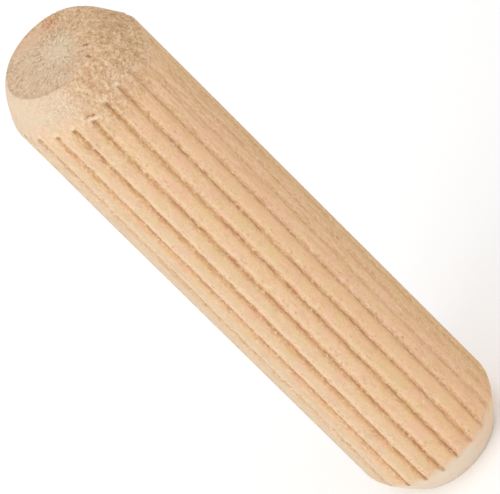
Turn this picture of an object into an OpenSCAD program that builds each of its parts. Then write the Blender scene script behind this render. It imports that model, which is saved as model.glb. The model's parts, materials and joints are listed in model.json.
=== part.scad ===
// Fluted dowel pin, turned from straight-grained hardwood with its flutes pressed in.
// It is glued half way into each of two matching blind holes, and the flutes
// let air and spare glue out. It stands on one end: the origin is the centre
// of the lower end face, and +Z runs along the pin.

/* [Pin] */
// Diameter over the lands, a tight push fit in a hole of the same size
pin_d = 12; // [10:0.1:20]
// Length from end face to end face
pin_l = 50; // [20:1:120]

/* [Chamfers] */
// How far each chamfer comes in from the lands
chamfer_w = 1.8; // [0.6:0.05:3]
// Length of each chamfer along the pin
chamfer_l = 3.25; // [1:0.05:6]
// How far the chamfer swells past a straight cone
chamfer_crown = 0.14; // [0.02:0.01:0.3]

/* [Flutes] */
// Number of flutes round the pin
flutes = 24; // [6:1:28]
// Depth of a flute under the lands
flute_depth = 0.29; // [0.15:0.01:0.35]
// Width of a flute from land to land
flute_w = 0.84; // [0.8:0.01:1]
// Width of the flat at the bottom of a flute
root_w = 0.08; // [0.02:0.01:0.12]
// Radius of the rolled lip between a flute and a land
lip_r = 0.35; // [0.1:0.01:0.38]
// Angle of the faint edge where a lip meets its land
lip_edge = 5; // [3:1:15]

/* [Hidden] */
$fn = 96;
wood = [0.93, 0.80, 0.62];

pin_r = pin_d / 2;
face_r = pin_r - chamfer_w;
cut_past = 1;

function point_at(r, angle) = r * [cos(angle), sin(angle)];

// Each chamfer is an arc from the edge of the end face to the start of the lands
chamfer_run = norm([chamfer_w, chamfer_l]);
crown_r = (pow(chamfer_run / 2, 2) + pow(chamfer_crown, 2)) / (2 * chamfer_crown);
crown_centre = [(face_r + pin_r) / 2, chamfer_l / 2]
    + (crown_r - chamfer_crown) * [-chamfer_l, chamfer_w] / chamfer_run;

// A flute in section points along X. Each lip is a circle that leaves the land at the
// faint edge, and each wall runs from the edge of the flat to where it touches a lip.
land_angle = asin(flute_w / 2 / pin_r);
lip_centre = point_at(pin_r, land_angle) - point_at(lip_r, land_angle - lip_edge);
root_to_lip = lip_centre - [pin_r - flute_depth, root_w / 2];
lip_turn = land_angle - atan2(root_to_lip.y, root_to_lip.x) + acos(-lip_r / norm(root_to_lip));

// The open side of one flank: past its wall, and outside its lip as far as the land
module past_flank() {
    reach = flute_w + cut_past;
    translate(lip_centre) rotate(land_angle) {
        rotate(-lip_turn) translate([lip_r, -reach]) square([reach, 2 * reach]);
        difference() {
            intersection() {
                translate([0, -reach]) square(reach);
                rotate(-lip_turn) square(reach);
            }
            circle(lip_r);
        }
    }
}

module flute_section() {
    intersection() {
        translate([pin_r - flute_depth, -flute_w]) square([flute_depth + cut_past, 2 * flute_w]);
        past_flank();
        mirror([0, 1]) past_flank();
    }
}

module flute() {
    translate([0, 0, -cut_past]) linear_extrude(pin_l + 2 * cut_past) flute_section();
}

module chamfer_section() {
    difference() {
        translate([face_r - cut_past, -cut_past])
            square([chamfer_w, chamfer_l] + 2 * cut_past * [1, 1]);
        translate(crown_centre) circle(crown_r);
    }
}

module blank() {
    rotate_extrude() difference() {
        square([pin_r, pin_l]);
        chamfer_section();
        translate([0, pin_l]) mirror([0, 1]) chamfer_section();
    }
}

module dowel_pin() {
    color(wood) difference() {
        blank();
        for (i = [0 : flutes - 1]) rotate(i * 360 / flutes) flute();
    }
}

dowel_pin();
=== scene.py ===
import json
import math

import bpy
from mathutils import Matrix, Vector


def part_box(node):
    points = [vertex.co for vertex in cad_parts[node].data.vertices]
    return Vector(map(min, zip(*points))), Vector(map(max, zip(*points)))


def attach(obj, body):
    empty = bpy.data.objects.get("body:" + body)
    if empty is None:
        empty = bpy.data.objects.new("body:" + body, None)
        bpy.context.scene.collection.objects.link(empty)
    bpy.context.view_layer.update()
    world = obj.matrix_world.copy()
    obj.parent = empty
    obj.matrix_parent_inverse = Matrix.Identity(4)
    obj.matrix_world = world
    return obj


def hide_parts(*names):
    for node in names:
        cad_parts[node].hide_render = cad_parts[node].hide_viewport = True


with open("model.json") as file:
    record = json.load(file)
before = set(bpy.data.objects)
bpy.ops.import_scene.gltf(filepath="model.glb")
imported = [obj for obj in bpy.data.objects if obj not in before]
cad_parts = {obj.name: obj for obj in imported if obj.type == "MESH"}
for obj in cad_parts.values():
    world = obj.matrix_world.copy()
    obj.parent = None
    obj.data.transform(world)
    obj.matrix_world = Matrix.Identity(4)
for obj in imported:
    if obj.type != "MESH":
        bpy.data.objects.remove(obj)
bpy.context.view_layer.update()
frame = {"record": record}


# ---- The pin ---------------------------------------------------------------------------
# A straight pin of pale, straight-grained hardwood, cut from a rod that was drawn through
# a toothed die. The die pressed the flutes, and let them drift round the rod a little.
# Each end is sawn flat and chamfered afterwards, so the flutes run out on the chamfer.

MM = 0.001
pin_low, pin_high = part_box("dowel_pin")
pin_length = pin_high.z - pin_low.z
pin_radius = frame["record"]["mounts"][0]["dims"]["r_mm"] * MM
flute_count = 24


class Field:
    """A number that a node tree works out at each point, written as plain arithmetic."""

    def __init__(self, tree, socket):
        self.tree = tree
        self.socket = socket

    def math(self, operation, *others):
        step = self.tree.nodes.new("ShaderNodeMath")
        step.operation = operation
        for entry, value in zip(step.inputs, (self, *others)):
            feed(entry, value)
        return Field(self.tree, step.outputs[0])

    def __add__(self, other):
        return self.math("ADD", other)

    def __radd__(self, other):
        return self.math("ADD", other)

    def __sub__(self, other):
        return self.math("SUBTRACT", other)

    def __rsub__(self, other):
        return self.math("MULTIPLY_ADD", -1.0, other)

    def __mul__(self, other):
        return self.math("MULTIPLY", other)

    def __rmul__(self, other):
        return self.math("MULTIPLY", other)

    def __truediv__(self, other):
        return self.math("DIVIDE", other)

    def __pow__(self, other):
        return self.math("POWER", other)

    def ramp(self, low, high, to_low=0.0, to_high=1.0):
        """From to_low where this is at low, to to_high where it is at high, and level past them."""
        step = node(self.tree, "ShaderNodeMapRange", {
            "Value": self, "From Min": low, "From Max": high,
            "To Min": to_low, "To Max": to_high})
        return Field(self.tree, step.outputs[0])

    def ease(self, low, high):
        """Like ramp from 0 to 1, with soft ends."""
        step = node(self.tree, "ShaderNodeMapRange", {
            "Value": self, "From Min": low, "From Max": high}, interpolation_type="SMOOTHSTEP")
        return Field(self.tree, step.outputs[0])


def feed(entry, value):
    """Sets a node's input, or links it to a field or a socket."""
    if isinstance(value, Field):
        value = value.socket
    if isinstance(value, bpy.types.NodeSocket):
        entry.id_data.links.new(value, entry)
    else:
        entry.default_value = value


def node(tree, kind, inputs=(), **settings):
    """Adds a node, with its settings and its inputs by name."""
    made = tree.nodes.new(kind)
    for name, value in settings.items():
        setattr(made, name, value)
    for name, value in dict(inputs).items():
        feed(made.inputs[name], value)
    return made


def point(tree, x, y, z):
    return node(tree, "ShaderNodeCombineXYZ", {"X": x, "Y": y, "Z": z}).outputs[0]


def noise(tree, at, detail=2.0, roughness=0.5):
    """Smooth noise from about -1 to 1 at a point, with one cell to a unit."""
    made = node(tree, "ShaderNodeTexNoise", {
        "Vector": at, "Scale": 1.0, "Detail": detail, "Roughness": roughness})
    return Field(tree, made.outputs[0]) * 2.0 - 1.0


shape = bpy.data.node_groups.new("fluted_pin_shape", "GeometryNodeTree")
shape.interface.new_socket(name="Pin", in_out="OUTPUT", socket_type="NodeSocketGeometry")
PIN_SIZES = {
    "Radius": pin_radius,
    "Length": pin_length,
    "Lower Face Radius": 4.15 * MM,
    "Upper Face Radius": 4.20 * MM,
    "Lower Chamfer": 3.22 * MM,
    "Upper Chamfer": 3.10 * MM,
    "Crown": 0.16 * MM,
    "Crown Skew": 0.5 * MM,
    "Upper Face Shift": -0.06 * MM,
    "Flutes": float(flute_count),
    "Flute Width": 0.80 * MM,
    "Flute Depth": 0.29 * MM,
    "Lip Roundness": 1.9,
    "Land Crown": 0.03 * MM,
    "First Flute": math.radians(-1.0),
    "Drift": math.radians(2.9),
    "Wander": 0.10 * MM,
    "Jog": 0.12 * MM,
    "Oval Spacing": math.radians(1.3),
    "Side Turn": math.radians(3.4),
    "Oval Depth": 0.25,
    "Weak Side": 0.4,
    "Lower Flute Stop": 2.45 * MM,
    "Upper Flute Stop": 2.75 * MM,
    "Worn Flute Stop": 2.45 * MM,
    "Deeper At Ends": 0.25,
    "Burr": 0.05 * MM,
    "Lower Edge": 0.13 * MM,
    "Upper Edge": 0.15 * MM,
    "Fray": 0.10 * MM,
    "Chip Turn": math.radians(-13.7),
    "Chip Depth": 2.62 * MM,
    "Chip Width": 0.72 * MM,
    "Uneven Stop": 0.15 * MM,
    "Pit Depth": 0.05 * MM,
    "Ridge Height": 0.008 * MM,
    "Nick Depth": 0.06 * MM,
    "Rim Height": 0.03 * MM,
    "Land Play": 0.01 * MM,
}
size_ids = {}
for name, value in PIN_SIZES.items():
    entry = shape.interface.new_socket(name=name, in_out="INPUT", socket_type="NodeSocketFloat")
    entry.default_value = value
    size_ids[name] = entry.identifier
material_entry = shape.interface.new_socket(
    name="Material", in_out="INPUT", socket_type="NodeSocketMaterial")
given = node(shape, "NodeGroupInput")
size = {name: Field(shape, given.outputs[name]) for name in PIN_SIZES}

# A sheet of squares is rolled into the pin: its X runs round the pin, with more columns
# in the flutes than on the lands, and its Y runs from the middle of the lower face, over
# the chamfer, up the shank and over the other chamfer to the middle of the upper face.
columns_per_flute = 17
part_rows = [4, 20, 150, 44, 22]  # lower face, its chamfer, shank, upper chamfer, its face
rows = sum(part_rows)
sheet = node(shape, "GeometryNodeMeshGrid", {
    "Size X": 1.0, "Size Y": 1.0,
    "Vertices X": flute_count * columns_per_flute + 1, "Vertices Y": rows + 1})
sheet_at = node(shape, "GeometryNodeInputPosition").outputs[0]
place = node(shape, "ShaderNodeSeparateXYZ", {"Vector": sheet_at})
around = (Field(shape, place.outputs["X"]) + 0.5) * size["Flutes"]
row = (Field(shape, place.outputs["Y"]) + 0.5) * float(rows)

lower_face, lower_chamfer, shank, upper_chamfer, upper_face = (
    row.ramp(float(sum(part_rows[:part])), float(sum(part_rows[:part + 1]))) for part in range(5))
lower_in = size["Radius"] - size["Lower Face Radius"]
upper_in = size["Radius"] - size["Upper Face Radius"]

# Round the pin, 0 is at the bottom of a flute and a half is at the crest of a land. The
# flutes drift from end to end, and those of the two sides are turned a little further.
crowding = 0.6  # how far the columns gather in the flutes
turn = 2.0 * math.pi
crowded = around - (around * turn).math("SINE") * (crowding / turn)
pitch = turn / flute_count
from_flute = (crowded - around.math("ROUND")) * pitch * size["Radius"]
in_flute = from_flute.math("ABSOLUTE")
level = (lower_chamfer * size["Lower Chamfer"] + upper_chamfer * size["Upper Chamfer"]
         + shank * (size["Length"] - size["Lower Chamfer"] - size["Upper Chamfer"]))
even = crowded * pitch + size["First Flute"] + (level / size["Length"] - 0.5) * size["Drift"]
even_x = even.math("SINE")
straight = (even + (even * 2.0 + 0.9).math("SINE") * size["Oval Spacing"]
            - (even_x.ease(0.72, 0.82) + even_x.ease(-0.75, -0.97)) * size["Side Turn"])
round_x = straight.math("SINE")  # 1 at the viewer's right
round_y = straight.math("COSINE") * -1.0  # -1 at the front
radius_mm = size["Radius"] / MM
level_mm = level / MM
upper_third = (level / size["Length"]).ramp(0.72, 0.85)
weak_side = round_x.ease(0.52, 0.75) * round_y.ramp(-0.1, -0.3)
strength = ((1.0 - (1.0 - (even * 2.0 + 0.8).math("COSINE")) * size["Oval Depth"])
            * (1.0 - weak_side * size["Weak Side"]) * (1.0 + round_x.ramp(0.93, 0.98, 0.0, 0.35))
            * (1.0 - weak_side * upper_third * size["Weak Side"] * 1.1))


def pin_noise(across, along, shift, detail=2.0):
    """Noise on the pin's skin: cells across millimetres wide and along millimetres long."""
    at = point(shape, round_x * radius_mm / across + shift, round_y * radius_mm / across,
               level_mm / along)
    return noise(shape, at, detail)


# The upper chamfer is worn straight and frayed on one side, and swells on the other. A
# swell stands square to the chamfer, so it goes outwards and along the pin.
swell_out = 0.87
swell_along = 0.5
worn_turn = math.radians(75.0)
worn_side = (round_x * math.sin(worn_turn) - round_y * math.cos(worn_turn)
             + pin_noise(0.9, 0.9, 71.1) * 0.25).ease(-0.25, 0.3)
lower_swell = lower_chamfer * (1.0 - lower_chamfer) * 4.0 * size["Crown"]
upper_swell = upper_chamfer * (1.0 - upper_chamfer) * (
    size["Crown"] * 4.0 * (1.0 - worn_side * 0.35)
    + (upper_chamfer * 2.0 - 1.0) * size["Crown Skew"])
fray = ((pin_noise(0.3, 0.4, 81.7).math("ABSOLUTE") * 2.0) * size["Fray"]
        * worn_side * upper_chamfer.ramp(0.0, 0.15))
profile = (lower_face * size["Lower Face Radius"] + lower_chamfer * lower_in
           - upper_chamfer * upper_in - upper_face * size["Upper Face Radius"]
           + lower_swell * swell_out + upper_swell * swell_out - fray * (1.0 - upper_face))
rim_mm = profile / MM
pit_at = point(shape, round_x * rim_mm / 0.28, round_y * rim_mm / 0.28, rim_mm / 0.6)
pits = (noise(shape, pit_at, 1.0).ramp(0.1, 0.6) * size["Pit Depth"]
        * upper_face.ramp(0.0, 0.05) * upper_face.ramp(0.95, 0.8))
height = (level - lower_swell * swell_along + upper_swell * swell_along - pits
          - fray * upper_chamfer.ramp(0.8, 1.0) * (1.0 - upper_face) * 0.3)

wander = pin_noise(2.5, 9.0, 3.7) * size["Wander"] / size["Radius"]
jog = pin_noise(0.7, 0.45, 11.3, 3.0) * size["Jog"] / size["Radius"]
angle = straight + wander + jog

# One wall of a flute is steeper than the other, except on the right of the pin.
gentle_wall = 1.18
steep_wall = 0.82 + round_x.ramp(0.15, 0.55) * 0.35
lean = gentle_wall + from_flute.ramp(-0.04 * MM, 0.04 * MM) * (steep_wall - gentle_wall)
width = size["Flute Width"] * 0.5 * lean * (1.0 + pin_noise(0.7, 0.7, 23.1) * 0.4)
bridged = pin_noise(0.6, 0.6, 29.3, 1.0).ramp(0.15, 0.55, 0.0, 0.45)
uneven_stop = pin_noise(1.3, 9.0, 91.7, 0.0) * size["Uneven Stop"]
past_lower = level - size["Lower Flute Stop"] - uneven_stop * 2.0

# A chip has come away beside the start of one flute, and left a crack with a raised rim.
chip_across = (round_x * size["Chip Turn"].math("COSINE")
               + round_y * size["Chip Turn"].math("SINE")) * size["Radius"]
from_chip = chip_across.math("ABSOLUTE") / size["Chip Width"] + round_y.ramp(0.0, -0.2, 9.0, 0.0)
chip_near = from_chip.ramp(1.0, 0.3)
chip_along = size["Length"] - level - size["Chip Depth"] - chip_across * 0.3 + pin_noise(
    0.22, 9.0, 55.9) * (0.09 * MM)
crack = chip_along.math("ABSOLUTE").ramp(0.11 * MM, 0.02 * MM) * from_chip.ramp(0.6, 0.45)
rim = (chip_along - 0.22 * MM).math("ABSOLUTE").ramp(0.14 * MM, 0.02 * MM) * chip_near
upper_stop = size["Upper Flute Stop"] + (
    size["Worn Flute Stop"] - size["Upper Flute Stop"]) * worn_side
past_upper = size["Length"] - level - upper_stop - uneven_stop - chip_near * (0.3 * MM)
past_stop = past_lower.math("MINIMUM", past_upper)
depth = (size["Flute Depth"] * strength * (1.0 + pin_noise(1.1, 2.0, 37.9) * 0.4)
         * (1.0 - bridged) * past_stop.ease(0.0, 0.3 * MM)
         * (1.0 + size["Deeper At Ends"] * (past_stop.ramp(3.0 * MM, 0.3 * MM) + worn_side * (
             upper_third * past_stop.ramp(1.0 * MM, 0.2 * MM)))))
open_share = (1.0 - in_flute / width).ramp(0.0, 0.83)
groove = open_share ** size["Lip Roundness"]
half_pitch = pitch * size["Radius"] * 0.5
bulge = (in_flute / half_pitch - 1.0) ** 2.0 * size["Land Crown"]
ridges = pin_noise(0.35, 1.8, 51.3, 3.0) * size["Ridge Height"]
nicks = pin_noise(0.32, 0.55, 67.7, 2.0).math("ABSOLUTE") * size["Nick Depth"] * in_flute.ramp(
    0.15 * MM, 0.6 * MM, 1.0, 0.2)
land = size["Radius"] - size["Land Play"] - bulge + ridges - nicks
shoulder = (shank.ramp(0.4, 0.6, size["Lower Edge"], size["Upper Edge"])
            + upper_third * round_x.ramp(-0.6, -0.9, 0.0, 0.25 * MM))
outside = profile.math("SMOOTH_MIN", land, shoulder)
floor_of_flute = land - groove * depth
side = from_flute / half_pitch
burr = ((1.0 - (past_stop + 0.08 * MM).math("ABSOLUTE") / (0.22 * MM)).math("MAXIMUM", 0.0)
        * side.math("ABSOLUTE").ramp(0.4, 0.15) * pin_noise(0.25, 0.3, 97.3, 1.0).ramp(-0.3, 0.2))
radius = (outside.math("MINIMUM", floor_of_flute) + burr * size["Burr"]
          + (rim - crack * 2.5) * size["Rim Height"])
cut = ((floor_of_flute - outside).ramp(-0.01 * MM, 0.01 * MM)
       * (size["Radius"] - profile).ramp(0.01 * MM, 0.03 * MM))

# Marks for the finish: the place across each flute and how strong it is, the hole and the
# burr where it starts on the chamfer, the crack and the rim of the chip, and the worn side.
near = side.math("ABSOLUTE").ramp(0.9, 0.75)
hole = past_stop.ramp(0.5 * MM, 0.15 * MM) * past_stop.ramp(-0.1 * MM, 0.05 * MM) * (
    side.ramp(-0.3, -0.15) * side.ramp(0.2, 0.08) * (1.0 - worn_side * 0.7))

marked = sheet.outputs["Mesh"]
for name, value in (("cut", cut), ("across", side), ("near", near), ("strength", strength),
                    ("open", 1.0 - bridged * 2.0), ("hole", hole), ("burr", burr),
                    ("crack", crack), ("rim", rim), ("worn", worn_side)):
    marked = node(shape, "GeometryNodeStoreNamedAttribute", {
        "Geometry": marked, "Name": name, "Value": value},
        data_type="FLOAT", domain="POINT").outputs[0]
rolled = node(shape, "GeometryNodeSetPosition", {
    "Geometry": marked,
    "Position": point(shape, radius * angle.math("SINE") + size["Upper Face Shift"] * upper_chamfer,
                      radius * angle.math("COSINE") * -1.0, height)})
closed = node(shape, "GeometryNodeMergeByDistance", {
    "Geometry": rolled.outputs[0], "Distance": 0.0005 * MM})
smooth = node(shape, "GeometryNodeSetShadeSmooth", {
    "Geometry": closed.outputs[0], "Shade Smooth": True})
whole = node(shape, "GeometryNodeRealizeInstances", {"Geometry": smooth.outputs[0]})
clad = node(shape, "GeometryNodeSetMaterial", {
    "Geometry": whole.outputs[0], "Material": given.outputs["Material"]})
node(shape, "NodeGroupOutput", {"Pin": clad.outputs[0]})

# The bare wood. Its grain is worked out from the place in the pin, in millimetres, and
# its stains from the marks.
wood = bpy.data.materials.new("bare_hardwood")
wood.use_nodes = True
look = wood.node_tree
finish = look.nodes["Principled BSDF"]
spot = node(look, "ShaderNodeSeparateXYZ", {
    "Vector": node(look, "ShaderNodeTexCoord").outputs["Object"]})
x, y, z = (Field(look, spot.outputs[axis]) / MM for axis in "XYZ")
from_axis = (x * x + y * y) ** 0.5
length_mm = pin_length / MM
top = z.ramp(length_mm - 8.0, length_mm - 6.0)


def mark(name):
    """A mark that the shape left on the pin's skin."""
    return Field(look, node(look, "ShaderNodeAttribute", attribute_name=name).outputs["Fac"])


def grain(across, along, shift, detail=2.0):
    """Noise in the wood: cells across millimetres wide and along millimetres long."""
    return noise(look, point(look, x / across + shift, y / across + shift, z / along), detail)


def tint(colour, other, share):
    """A colour turned towards another one by a share from 0 to 1."""
    first_colour, second_colour, mixed_colour = 6, 7, 2  # places of the node's colour sockets
    mixed = node(look, "ShaderNodeMix", data_type="RGBA")
    feed(mixed.inputs["Factor"], share)
    feed(mixed.inputs[first_colour], colour)
    feed(mixed.inputs[second_colour], other)
    return mixed.outputs[mixed_colour]


# The colours of the wood, and those of the light and shade painted on it. It is cooler on the left
# of the pin and warmer on the right.
PALE = (0.95, 0.67, 0.42, 1)
AMBER = (0.92, 0.53, 0.268, 1)
PINK = (0.92, 0.52, 0.36, 1)
STRAW = (0.84, 0.59, 0.28, 1)
PAINTED_FLANK_SHADE = (0.86, 0.52, 0.23, 1)
BROWN = (0.40, 0.20, 0.085, 1)
RUST = (0.50, 0.22, 0.10, 1)
OLIVE = (0.52, 0.37, 0.08, 1)
COOL_TAN = (0.72, 0.44, 0.23, 1)
WARM_TAN = (0.73, 0.395, 0.185, 1)
COOL_CREAM = (0.97, 0.75, 0.51, 1)
WARM_CREAM = (1.0, 0.67, 0.40, 1)
CHESTNUT = (0.60, 0.29, 0.12, 1)
RUSSET = (0.52, 0.235, 0.095, 1)
PAINTED_CREST_LIGHT = (1.0, 0.62, 0.33, 1)
PEACH = (0.98, 0.65, 0.41, 1)
PAINTED_CREST_SHADE = (0.74, 0.57, 0.36, 1)
PAINTED_EDGE_SHEEN = (0.76, 0.635, 0.475, 1)
PAINTED_LIP_HIGHLIGHT = (1.0, 0.77, 0.53, 1)
BURR_AND_GLINT = (1.0, 0.79, 0.51, 1)
PAINTED_EDGE_SHADE = (0.52, 0.32, 0.15, 1)
PAINTED_SIDE_SHADE = (0.62, 0.37, 0.05, 1)

worn = mark("worn")
sawn = mark("cut")
on_shank = 1.0 - sawn
to_right = x / (pin_radius / MM)
depth_in = length_mm - z

# The edges of the flutes are torn, so their marks stray a little to each side.
stray = grain(0.12, 0.2, 77.7, 1.0) * depth_in.ramp(14.0, 5.0, 0.07, 0.11)
across = mark("across") + stray
near_flute = mark("near") * on_shank
strong = mark("strength") * near_flute
shade_mark = across.ramp(-1.0, -0.25) * across.ramp(0.25, 0.0) * near_flute
wall_mark = (across.ramp(-0.55, -0.12) * across.ramp(0.2, 0.0) * strong
             * to_right.ramp(-0.6, -0.75, 1.0, 0.75))
root_mark = across.ramp(-0.22, -0.1) * across.ramp(0.05, -0.03) * strong * mark("open")
lip_mark = across.ramp(0.1, 0.35) * across.ramp(0.9, 0.35) * strong
sliver_mark = across.ramp(-0.04, 0.06) * across.ramp(0.5, 0.2) * strong.ramp(0.4, 0.7)

# The skin, with its fine speckle and its wider patches.
warm = (to_right + grain(3.0, 12.0, 1.3) * 0.5).ramp(-1.1, 1.1)
skin = tint(PALE, AMBER, warm)
tan = tint(COOL_TAN, WARM_TAN, warm)
cream = tint(COOL_CREAM, WARM_CREAM, warm)
speckle = grain(0.14, 0.2, 31.3, 1.0)
skin = tint(skin, CHESTNUT, speckle.ramp(0.0, -1.0, 0.0, 0.55))
skin = tint(skin, cream, speckle.ramp(0.0, 1.0, 0.0, 0.95))
tone = grain(0.45, 1.6, 5.1) * 0.6 + grain(0.2, 0.35, 9.7) * 0.7 + grain(0.8, 1.2, 55.5) * 0.6
skin = tint(skin, tan, (tone + 0.12).ramp(0.0, 1.0, 0.0, 0.9))
patches = grain(0.9, 1.6, 21.9, 1.0)
skin = tint(skin, PINK, patches.ramp(0.0, 0.5, 0.0, 0.65))
skin = tint(skin, STRAW, patches.ramp(0.0, -0.5, 0.0, 0.65))

# The lands carry painted light and shade: the crests are lit on the right of the pin and shaded on
# the left, the lip beside each flute has a painted highlight, and the flank turned from the lamp a
# painted shade. The flutes hold a brown stain, which is broken up and strongest near the upper end,
# and which also paints shade on their bottoms and on the wall turned from the lamp.
crest = across.math("ABSOLUTE").ramp(0.35, 0.8).math("MAXIMUM", 1.0 - mark("near")) * on_shank
# Painted light on the crests at the right of the pin, painted shade on those at the left.
skin = tint(skin, PAINTED_CREST_LIGHT, crest * to_right.ramp(0.1, 0.4) * 0.35)
skin = tint(skin, PAINTED_CREST_SHADE, crest * to_right.ramp(-0.1, -0.4) * 0.33)
# A painted highlight on the lip of each flute that faces the lamp, strongest on the left of the pin.
skin = tint(skin, PAINTED_LIP_HIGHLIGHT, lip_mark * to_right.ramp(-0.5, -0.25, 0.6, 0.38))
# Painted shade on the flank of each flute that is turned from the lamp.
skin = tint(skin, PAINTED_FLANK_SHADE, shade_mark * grain(0.5, 1.5, 35.1).ramp(-0.4, 0.3, 0.15, 0.55))
# The brown is partly a stain in the flutes and partly painted shade, laid on their bottoms and on
# the wall turned from the lamp.
stain_and_shade = tint(BROWN, RUST, grain(1.5, 2.5, 61.9).ramp(-0.1, 0.4))
olive = grain(1.1, 1.8, 83.3).ramp(-0.1, 0.2) * depth_in.ramp(16.0, 9.0)
stain_and_shade = tint(stain_and_shade, OLIVE, olive)
skin = tint(skin, stain_and_shade, wall_mark * grain(0.3, 0.5, 57.3).ramp(-0.4, 0.4, 0.0, 0.36))
started = (depth_in.ramp(9.0, 4.0) * (grain(1.2, 3.0, 70.9) + 0.6)).ramp(0.0, 1.0)
started = started.math("MAXIMUM", depth_in.ramp(5.5, 3.0))
skin = tint(skin, stain_and_shade, wall_mark * started * grain(0.25, 0.6, 39.9).ramp(-0.4, 0.3, 0.05, 0.4))
breaks = (grain(0.6, 2.2, 67.3, 3.0).ramp(-0.2, 0.05) * to_right.ramp(-0.35, 0.1, 0.3, 0.74)
          + to_right.ramp(-0.35, 0.1, 0.32, 0.0))
breaks = breaks.math("MAXIMUM", started * 0.8)
skin = tint(skin, stain_and_shade, root_mark * breaks)

# Short strokes of torn wood stand along the dark side of the flutes near the upper end.
strokes = grain(0.13, 0.4, 51.9, 1.0)
frayed = depth_in.ramp(16.0, 4.0) * shade_mark + to_right.ramp(0.5, 0.8) * 0.25
skin = tint(skin, BROWN, strokes.ramp(-0.1, -0.5) * frayed * 0.55)
skin = tint(skin, cream, strokes.ramp(0.1, 0.5) * frayed * 0.7)

# At the far right of the pin, turned from the lamp, the skin is darkened by painted shade, and at
# the far left, where it turns to the outline, it is greyed by a painted sheen.
skin = tint(skin, PAINTED_EDGE_SHADE, to_right.ramp(0.86, 0.95) * (0.25 + wall_mark * 0.6))
skin = tint(skin, PAINTED_EDGE_SHEEN, to_right.ramp(-0.8, -0.97) * 0.65)

# Crumbs of torn fibre lie along the flutes, on one side of the pin and in patches.
edges = (lip_mark + wall_mark).ramp(0.0, 0.5)
torn_side = (to_right.ramp(0.3, 0.8) + to_right.ramp(-0.6, -0.9) * 0.6
             + depth_in.ramp(14.0, 3.0) * 0.7)
torn = (grain(0.9, 2.0, 18.3) + torn_side * 0.5 + edges * 0.65).ramp(0.05, 0.8)
crumbs = grain(0.16, 0.34, 44.1, 2.0) * 1.15
streaks = grain(0.2, 1.5, 99.1, 1.0) + grain(0.3, 5.0, 63.7, 1.0) * 0.7
skin = tint(skin, tan, streaks.ramp(0.0, 0.5, 0.0, 0.6) * torn_side)
skin = tint(skin, PEACH, streaks.ramp(0.0, -0.5, 0.0, 0.7) * torn_side)
# Painted shade: the skin turns darker and more orange towards the right edge, turned from the lamp.
skin = tint(skin, PAINTED_SIDE_SHADE, to_right.ramp(0.76, 0.93, 0.0, 0.3))
skin = tint(skin, cream, crumbs.ramp(0.1, 0.45) * torn.ramp(0.0, 1.0, 0.12, 1.0))
skin = tint(skin, RUSSET,
            crumbs.ramp(-0.15, -0.6) * torn.ramp(0.0, 1.0, 0.06, 0.6) * (edges * 0.5 + 0.6))
specks = (grain(0.16, 0.35, 13.7, 0.0).ramp(0.44, 0.62)
          * grain(1.0, 2.0, 25.3, 0.0).ramp(-0.1, 0.25))
skin = tint(skin, cream, specks * 0.8)
# Slivers of painted highlight lie on the wall just past the bottom of each flute, the wall that
# faces the lamp.
slivers = strokes + grain(0.8, 0.9, 47.1, 1.0) * 0.5
skin = tint(skin, BURR_AND_GLINT, slivers.ramp(0.15, 0.45) * sliver_mark)

# The worn side of the upper end is a mat of short torn fibres, and the other side is bare
# and finely spotted.
COOL_GAP = (0.60, 0.35, 0.17, 1)
WARM_GAP = (0.50, 0.27, 0.11, 1)
COOL_FIBRE = (0.98, 0.71, 0.47, 1)
WARM_FIBRE = (0.90, 0.61, 0.34, 1)
ROSY_FIBRE = (0.88, 0.54, 0.37, 1)
CURLED_FIBRE = (0.98, 0.80, 0.57, 1)
COOL_BARE = (0.83, 0.685, 0.505, 1)
WARM_BARE = (0.765, 0.59, 0.42, 1)
BARE_SPOT = (1.0, 0.84, 0.64, 1)
grit = noise(look, point(look, x / 0.17, y / 0.17, z / 0.17), 2.0)
swirl = y.math("ARCTAN2", x) + grain(0.9, 0.9, 15.5, 1.0) * 0.2
strands = noise(look, point(look, swirl.math("COSINE") * 28.0, swirl.math("SINE") * 28.0,
                            (z + from_axis) / 0.5), 1.0) * from_axis.ramp(1.0, 2.5)
lumps = grain(0.3, 0.3, 38.5, 1.0)
mat = grit * 0.6 + strands * 0.6 + lumps * 0.5
browned = (grain(1.6, 1.6, 49.3) + to_right.ramp(0.3, 1.0, 0.0, 0.4)).ramp(-0.1, 0.6)
gaps = tint(COOL_GAP, WARM_GAP, browned)
fibres = tint(COOL_FIBRE, WARM_FIBRE, browned)
fibres = tint(fibres, ROSY_FIBRE, grain(0.8, 0.8, 7.7, 1.0).ramp(-0.1, 0.4, 0.0, 0.8))
fibres = tint(gaps, fibres, mat.ramp(-0.38, 0.34))
bare = tint(COOL_BARE, WARM_BARE, to_right.ramp(-0.8, -0.4))
bare = tint(bare, PINK, (patches + grit * 0.7).ramp(0.0, 0.6, 0.0, 0.4))
fine = grain(0.12, 0.12, 87.1, 1.0)
spotted = (to_right + grain(0.8, 0.8, 73.9) * 0.5).ramp(-1.1, -0.3)
spots = fine * 1.2 + mat * 0.7
bare = tint(bare, gaps, spots.ramp(-0.1, -0.65, 0.0, 0.85) * spotted)
bare = tint(bare, BARE_SPOT, spots.ramp(0.1, 0.65, 0.0, 0.9) * spotted)
chamfer = tint(skin, bare, depth_in.ramp(3.4, 1.6) * 0.85)
matted = worn * (depth_in + mat * 1.5).ramp(4.9, 2.5) * 0.95
chamfer = tint(chamfer, fibres, matted * (1.0 - wall_mark * 0.85))
curled_depth = 2.6
curls = ((strands + grit * 0.5).ramp(0.2, 0.5)
         * (1.0 - (depth_in - curled_depth).math("ABSOLUTE")).ramp(-1.0, 0.5))
chamfer = tint(chamfer, CURLED_FIBRE, curls * (worn * 0.3 + 0.2))

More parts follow.
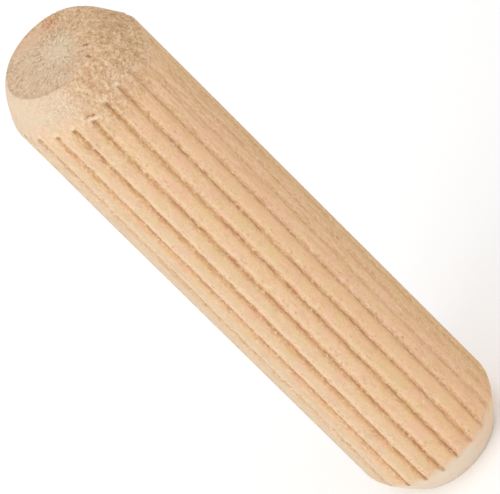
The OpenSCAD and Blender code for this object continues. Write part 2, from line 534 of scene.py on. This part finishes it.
# The upper face shows the pores, torn out along the rays from the heart of the wood.
FACE_MIDDLE = (0.785, 0.61, 0.42, 1)
FACE_FRONT = (0.73, 0.525, 0.345, 1)
FACE_BEHIND = (0.675, 0.445, 0.24, 1)
FACE_CALM = (0.80, 0.52, 0.34, 1)
PORE_EDGE = (0.94, 0.74, 0.52, 1)
RUSTY_HALO = (0.82, 0.46, 0.25, 1)
RUSTY_HEART = (0.46, 0.15, 0.06, 1)
SPLIT = (0.33, 0.14, 0.07, 1)
CRACK = (0.42, 0.13, 0.06, 1)
CRACK_RIM = (1.0, 0.82, 0.56, 1)


def distance_to(place_x, place_y):
    """How far a spot is from a place on the face, in millimetres."""
    off_x = x - place_x
    off_y = y - place_y
    return (off_x * off_x + off_y * off_y) ** 0.5


heart_x, heart_y = 0.3, -0.1
from_heart = distance_to(heart_x, heart_y)
ray_turn = (y - heart_y).math("ARCTAN2", x - heart_x)


def rays(count, length):
    """Streaks that point at the heart of the wood."""
    return noise(look, point(look, ray_turn.math("COSINE") * count, ray_turn.math("SINE") * count,
                             from_heart / length), 1.0)


# The face is rough and brown behind on the right, and calm behind on the left.
behind = (x * 0.8 + y * 0.55).ramp(0.6, 2.5)
calm = (y + x * 0.35 + lumps * 0.5).ramp(2.0, 2.6) * (y - x).ramp(1.0, 2.2)
streaked = (rays(8.0, 0.5) * from_heart.ramp(0.15, 0.5) * from_heart.ramp(3.0, 1.2)
            + rays(16.0, 0.4) * from_heart.ramp(0.8, 1.6) * 0.85
            + rays(9.0, 0.9) * behind * from_heart.ramp(0.5, 1.2) * 0.9)
off_axis = from_axis.ramp(0.6, 2.5)
bald = (grain(0.9, 0.9, 27.7, 1.0) + behind * 0.6).ramp(-0.35, 0.1, 0.5, 1.0)
pores = (fine * (0.9 + behind * 0.7) * from_heart.ramp(0.2, 1.4, 0.5, 1.0) + streaked
         + lumps * off_axis * (0.2 + behind * 0.8)) * bald * (1.0 - calm * 0.6)
outer = tint(FACE_FRONT, FACE_BEHIND, behind)
from_pale = distance_to(0.8, -0.2)
face = tint(FACE_MIDDLE, outer, (from_pale + grain(1.1, 1.1, 12.9)).ramp(0.6, 2.6))
face = tint(face, FACE_CALM, calm * 0.6)
face = tint(face, BROWN, pores.ramp(-0.05, -0.75, 0.0, 0.9))
face = tint(face, PORE_EDGE, pores.ramp(0.05, 0.6, 0.0, 0.95))
face = tint(face, BROWN, from_axis.ramp(3.7, 4.15) * (1.0 - worn) * (patches + 0.6) * 0.25)
face = tint(face, fibres, (worn * off_axis * 0.6 + x / 7.0 + grit * 0.3).ramp(0.4, 0.9) * 0.85)
rusty = (distance_to(1.5, 3.1) + grit * 0.5).ramp(0.95, 0.3)
face = tint(face, RUSTY_HALO, rusty * 0.65)
face = tint(face, RUSTY_HEART, rusty * (fine + grit).ramp(0.15, -0.35))

# Two splits run along the rays, near the front of the face.
split_places = ((2.05, -2.35), (1.6, -3.7))
for split_x, split_y in split_places:
    beyond = math.hypot(split_x - heart_x, split_y - heart_y)
    ray = ((split_x - heart_x) / beyond, (split_y - heart_y) / beyond)
    along_ray = (x - split_x) * ray[0] + (y - split_y) * ray[1] + grit * 0.1
    across_ray = (y - split_y) * ray[0] - (x - split_x) * ray[1] + grit * 0.05
    split = along_ray.math("ABSOLUTE").ramp(0.42, 0.2) * across_ray.math("ABSOLUTE").ramp(0.16, 0.05)
    face = tint(face, SPLIT, split * 0.8)
chamfer = tint(chamfer, CRACK, mark("crack") * 0.85)
chamfer = tint(chamfer, CRACK_RIM, mark("rim") * 0.9)

# The upper face sits a little to the left of the axis, and its edge is uneven.
face_shift = 0.06
shift_reach = 5.95  # how far out, in millimetres, the shift counts in full
off_centre = x * (face_shift / shift_reach)
on_face = (from_axis + off_centre + grain(0.4, 0.4, 83.9) * 0.08).ramp(4.24, 4.14)

# The foot is paler than the shank, partly as end grain and partly as painted light from the floor
# below, and palest near the floor, where painted light covers the shade at its base. Each flute
# starts with a hole, darkened with painted shade, and a pale burr.
COOL_FOOT = (0.92, 0.78, 0.63, 1)
WARM_FOOT = (0.96, 0.70, 0.46, 1)
FOOT_PAINTED_LIGHT = (1.0, 0.88, 0.74, 1)
HOLE_SHADE = (0.34, 0.19, 0.06, 1)
foot = tint(COOL_FOOT, WARM_FOOT, (to_right + grit * 0.2).ramp(0.1, 0.85))
foot = tint(foot, FOOT_PAINTED_LIGHT, z.ramp(1.3, 0.2) * 0.8)
foot = tint(foot, PINK, (patches + grit * 0.4).ramp(0.1, 0.6, 0.0, 0.35))
foot = tint(skin, foot, (z + patches * 0.5 + grit * 0.3).ramp(3.2, 2.2) * (0.9 - wall_mark * 0.5))
ends = tint(foot, chamfer, top)
# Painted shade in the hole where each flute starts.
ends = tint(ends, HOLE_SHADE, mark("hole") * 0.8)
ends = tint(ends, BURR_AND_GLINT, mark("burr") * 0.9)
ends = tint(ends, face, on_face * top)
feed(finish.inputs["Base Color"], ends)

# The finest unevenness, below what the mesh can hold, is a bump of the finish.
height_skin = (grain(0.12, 0.8, 91.3, 2.0) * 0.010 + speckle * 0.006
               + crumbs * torn.ramp(0.0, 1.0, 0.05, 1.0) * (edges * 0.024 + 0.010)
               + specks * 0.01)
height_ends = mat * worn * off_axis * 0.05 + fine * spotted * 0.025 + pores * on_face * 0.03
relief = height_skin * (1.0 - sawn * top) + height_ends * sawn * top
bumps = node(look, "ShaderNodeBump", {"Height": relief, "Distance": MM, "Strength": 1.0})
feed(finish.inputs["Normal"], bumps.outputs[0])
feed(finish.inputs["Roughness"], sawn.ramp(0.0, 1.0, 0.55, 0.75))

maker = bpy.data.objects.new("pin_maker", bpy.data.meshes.new("pin_maker"))
bpy.context.scene.collection.objects.link(maker)
rule = maker.modifiers.new("shape", "NODES")
rule.node_group = shape
for name, value in PIN_SIZES.items():
    rule[size_ids[name]] = value
rule[material_entry.identifier] = wood
evaluated = maker.evaluated_get(bpy.context.evaluated_depsgraph_get())
pin_mesh = bpy.data.meshes.new_from_object(evaluated)
bpy.data.objects.remove(maker)
pin = bpy.data.objects.new("dowel_pin_wood", pin_mesh)
bpy.context.scene.collection.objects.link(pin)
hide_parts("dowel_pin")
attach(pin, "root")


# ---- The bench top -------------------------------------------------------------------------
# The pin stands on a plain painted board that runs out of sight. It is matt white, and
# shows as plain white to the viewer while it keeps the pin's shadow.

WHITE = (1, 1, 1, 1)
floor_mesh = bpy.data.meshes.new("bench_top")
reach = 3.0
floor_mesh.from_pydata(
    [(-reach, -reach, 0), (reach, -reach, 0), (reach, reach, 0), (-reach, reach, 0)],
    [], [(0, 1, 2, 3)])
floor = bpy.data.objects.new("bench_top", floor_mesh)
bpy.context.scene.collection.objects.link(floor)
floor_paint = bpy.data.materials.new("white_top")
floor_paint.use_nodes = True
paint = floor_paint.node_tree


def looked_at(tree):
    """1 where the camera sees a thing, straight or in a mirror or through glass."""
    paths = node(tree, "ShaderNodeLightPath").outputs
    return (Field(tree, paths["Is Camera Ray"]) + Field(tree, paths["Is Glossy Ray"])
            + Field(tree, paths["Is Transmission Ray"]))


seen = looked_at(paint)
white = seen.ramp(0.0, 1.0, 0.93, 1.0)
top_finish = paint.nodes["Principled BSDF"]
feed(top_finish.inputs["Base Color"], node(paint, "ShaderNodeCombineColor", {
    "Red": white, "Green": white, "Blue": white}).outputs[0])
top_finish.inputs["Roughness"].default_value = 0.9
top_finish.inputs["Emission Color"].default_value = WHITE
feed(top_finish.inputs["Emission Strength"], seen * 0.12)
top_finish.inputs["Specular IOR Level"].default_value = 0.0
floor_mesh.materials.append(floor_paint)


# ---- The light -----------------------------------------------------------------------------
# A big soft box stands to the left of the viewer, a second one hangs overhead, and the
# white room fills in the rest.

world = bpy.data.worlds.new("studio")
bpy.context.scene.world = world
world.use_nodes = True
room = world.node_tree
background = room.nodes["Background"]
background.inputs["Color"].default_value = WHITE
room_level = 0.65
feed(background.inputs["Strength"], looked_at(room).ramp(0.0, 1.0, room_level, 1.0))


def soft_box(name, azimuth, elevation, distance, width, level):
    """A square lamp that faces the pin and lights a white card there to the given level.

    Azimuth 0 is the viewer's side, and it grows to the viewer's right.
    """
    lamp = bpy.data.lights.new(name, "AREA")
    lamp.size = width
    lamp.energy = level * math.pi ** 2 * distance ** 2
    lamp_object = bpy.data.objects.new(name, lamp)
    flat = distance * math.cos(math.radians(elevation))
    lamp_object.location = (flat * math.sin(math.radians(azimuth)),
                            -flat * math.cos(math.radians(azimuth)),
                            distance * math.sin(math.radians(elevation)) + pin_length / 2)
    to_pin = Vector((0, 0, pin_length / 2)) - lamp_object.location
    lamp_object.rotation_euler = to_pin.to_track_quat("-Z", "Y").to_euler()
    bpy.context.scene.collection.objects.link(lamp_object)


soft_box("side_box", azimuth=-48, elevation=30, distance=0.6, width=0.35, level=0.23)
soft_box("top_box", azimuth=0, elevation=85, distance=0.8, width=0.6, level=0.22)


# ---- The camera --------------------------------------------------------------------------
# A long lens looks down on the pin from the front. It is rolled, so that the pin leans
# in the frame with its upper end at the top left.

image_width = 500
image_height = 494
view_elevation = math.radians(34.58)
view_roll = math.radians(-45.328)
pixels_per_mm = 13.5
view_distance = 829.4 * MM
pin_middle_pixel = (253.79, 250.98)

towards_viewer = Vector((0, -math.cos(view_elevation), math.sin(view_elevation)))
level_right = Vector((1, 0, 0))
level_up = towards_viewer.cross(level_right)
view_right = math.cos(view_roll) * level_right + math.sin(view_roll) * level_up
view_up = towards_viewer.cross(view_right)
pixel = MM / pixels_per_mm
camera_data = bpy.data.cameras.new("camera")
camera_data.sensor_width = 36
camera_data.lens = camera_data.sensor_width / image_width * view_distance / pixel
camera_data.clip_start = 0.01
camera_data.clip_end = 20
camera = bpy.data.objects.new("camera", camera_data)
camera.location = (Vector((0, 0, pin_length / 2)) + view_distance * towards_viewer
                   - (pin_middle_pixel[0] - image_width / 2) * pixel * view_right
                   + (pin_middle_pixel[1] - image_height / 2) * pixel * view_up)
camera.rotation_euler = Matrix((view_right, view_up, towards_viewer)).transposed().to_euler()
bpy.context.scene.collection.objects.link(camera)
bpy.context.scene.camera = camera

bpy.context.scene.view_settings.view_transform = "Standard"
